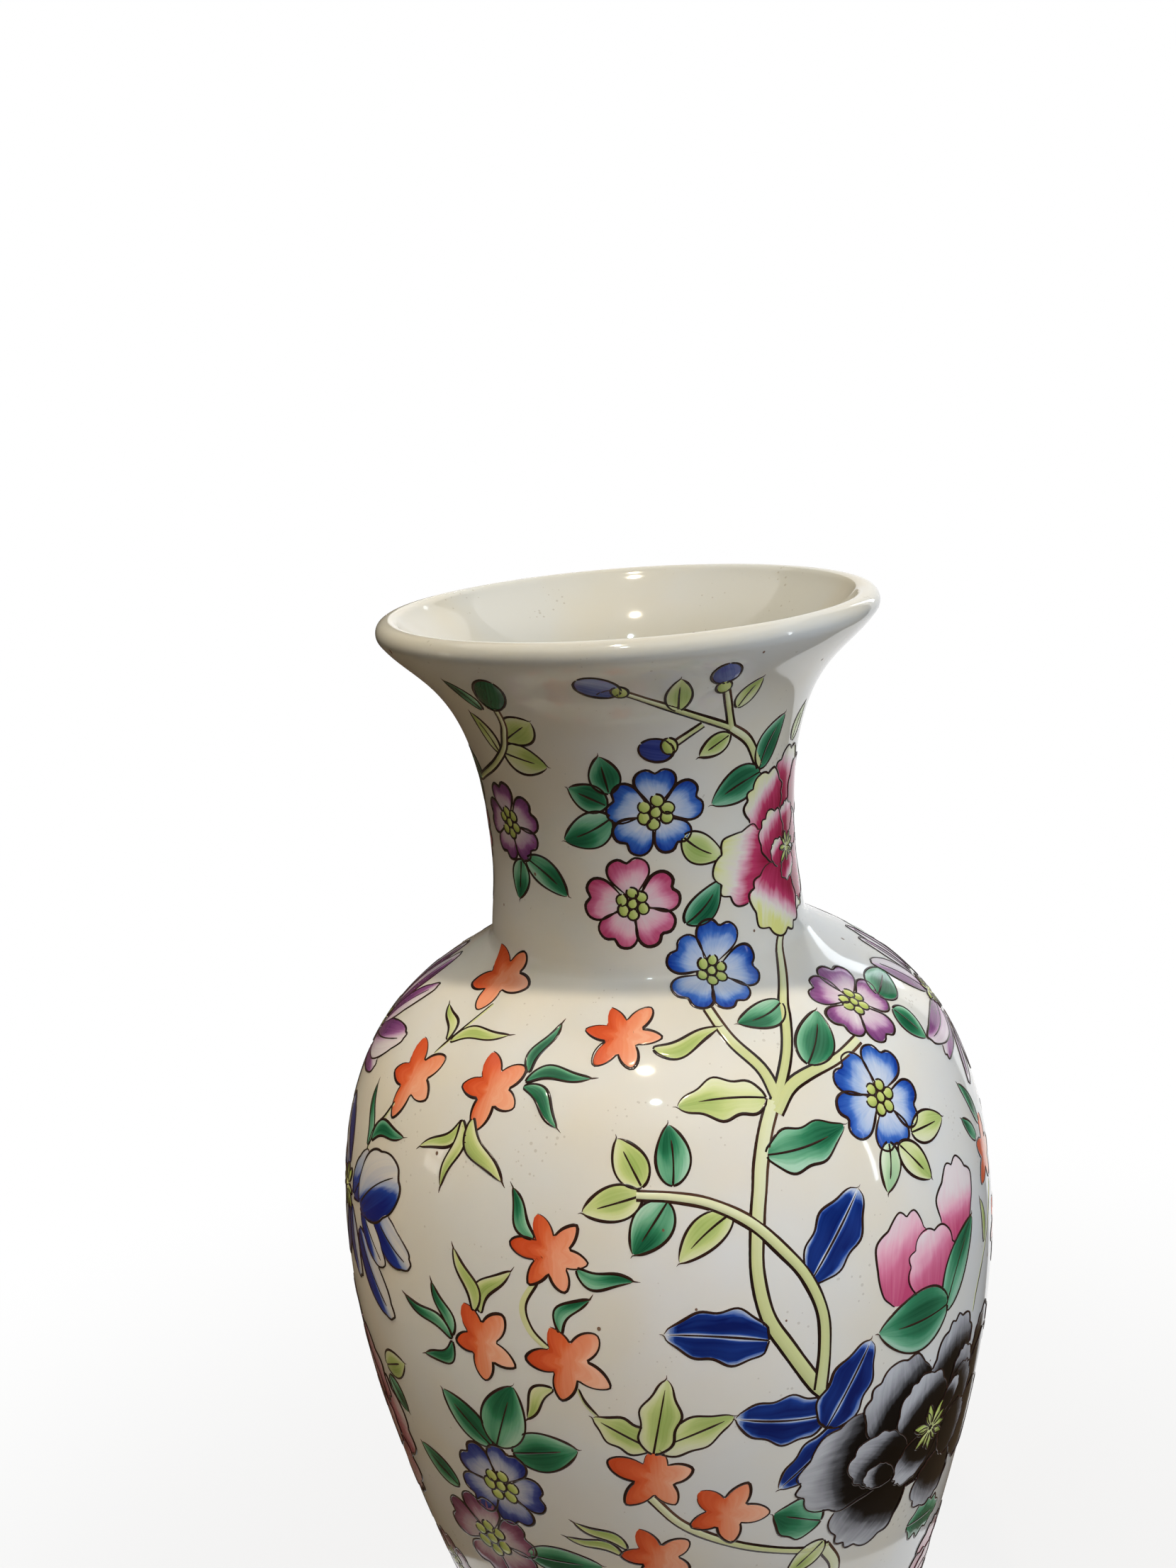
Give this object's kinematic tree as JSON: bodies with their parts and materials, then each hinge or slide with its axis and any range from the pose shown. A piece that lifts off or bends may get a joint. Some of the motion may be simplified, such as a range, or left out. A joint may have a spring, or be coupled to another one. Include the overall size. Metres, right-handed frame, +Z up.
{
  "type": "porcelain vase",
  "caption": "Large porcelain baluster vase with a trumpet mouth, rounded lip and turned foot ring, glazed white inside and out and painted with flowering branches.",
  "frame": {"origin": "on the table under the middle of the foot ring", "axes": "+Z up along the axis that the vase was thrown on; -Y is the painted front, +X to the right of it"},
  "size_m": [0.23, 0.23, 0.457],
  "materials": {
    "clay": "bare porcelain biscuit, smooth turned",
    "slip": "fired luting slip",
    "glaze": "clear glossy glaze with overglaze enamel painting"
  },
  "bodies": {
    "root": {"foot_ring": "clay", "base_dish": "clay", "lower_body": "clay", "upper_body": "clay", "neck": "clay", "mouth_flare": "clay", "foot_slip": "slip", "base_slip": "slip", "belly_slip": "slip", "shoulder_slip": "slip", "mouth_slip": "slip", "outer_glaze": "glaze", "inner_glaze": "glaze", "recess_glaze": "glaze"}
  },
  "joints": []
}
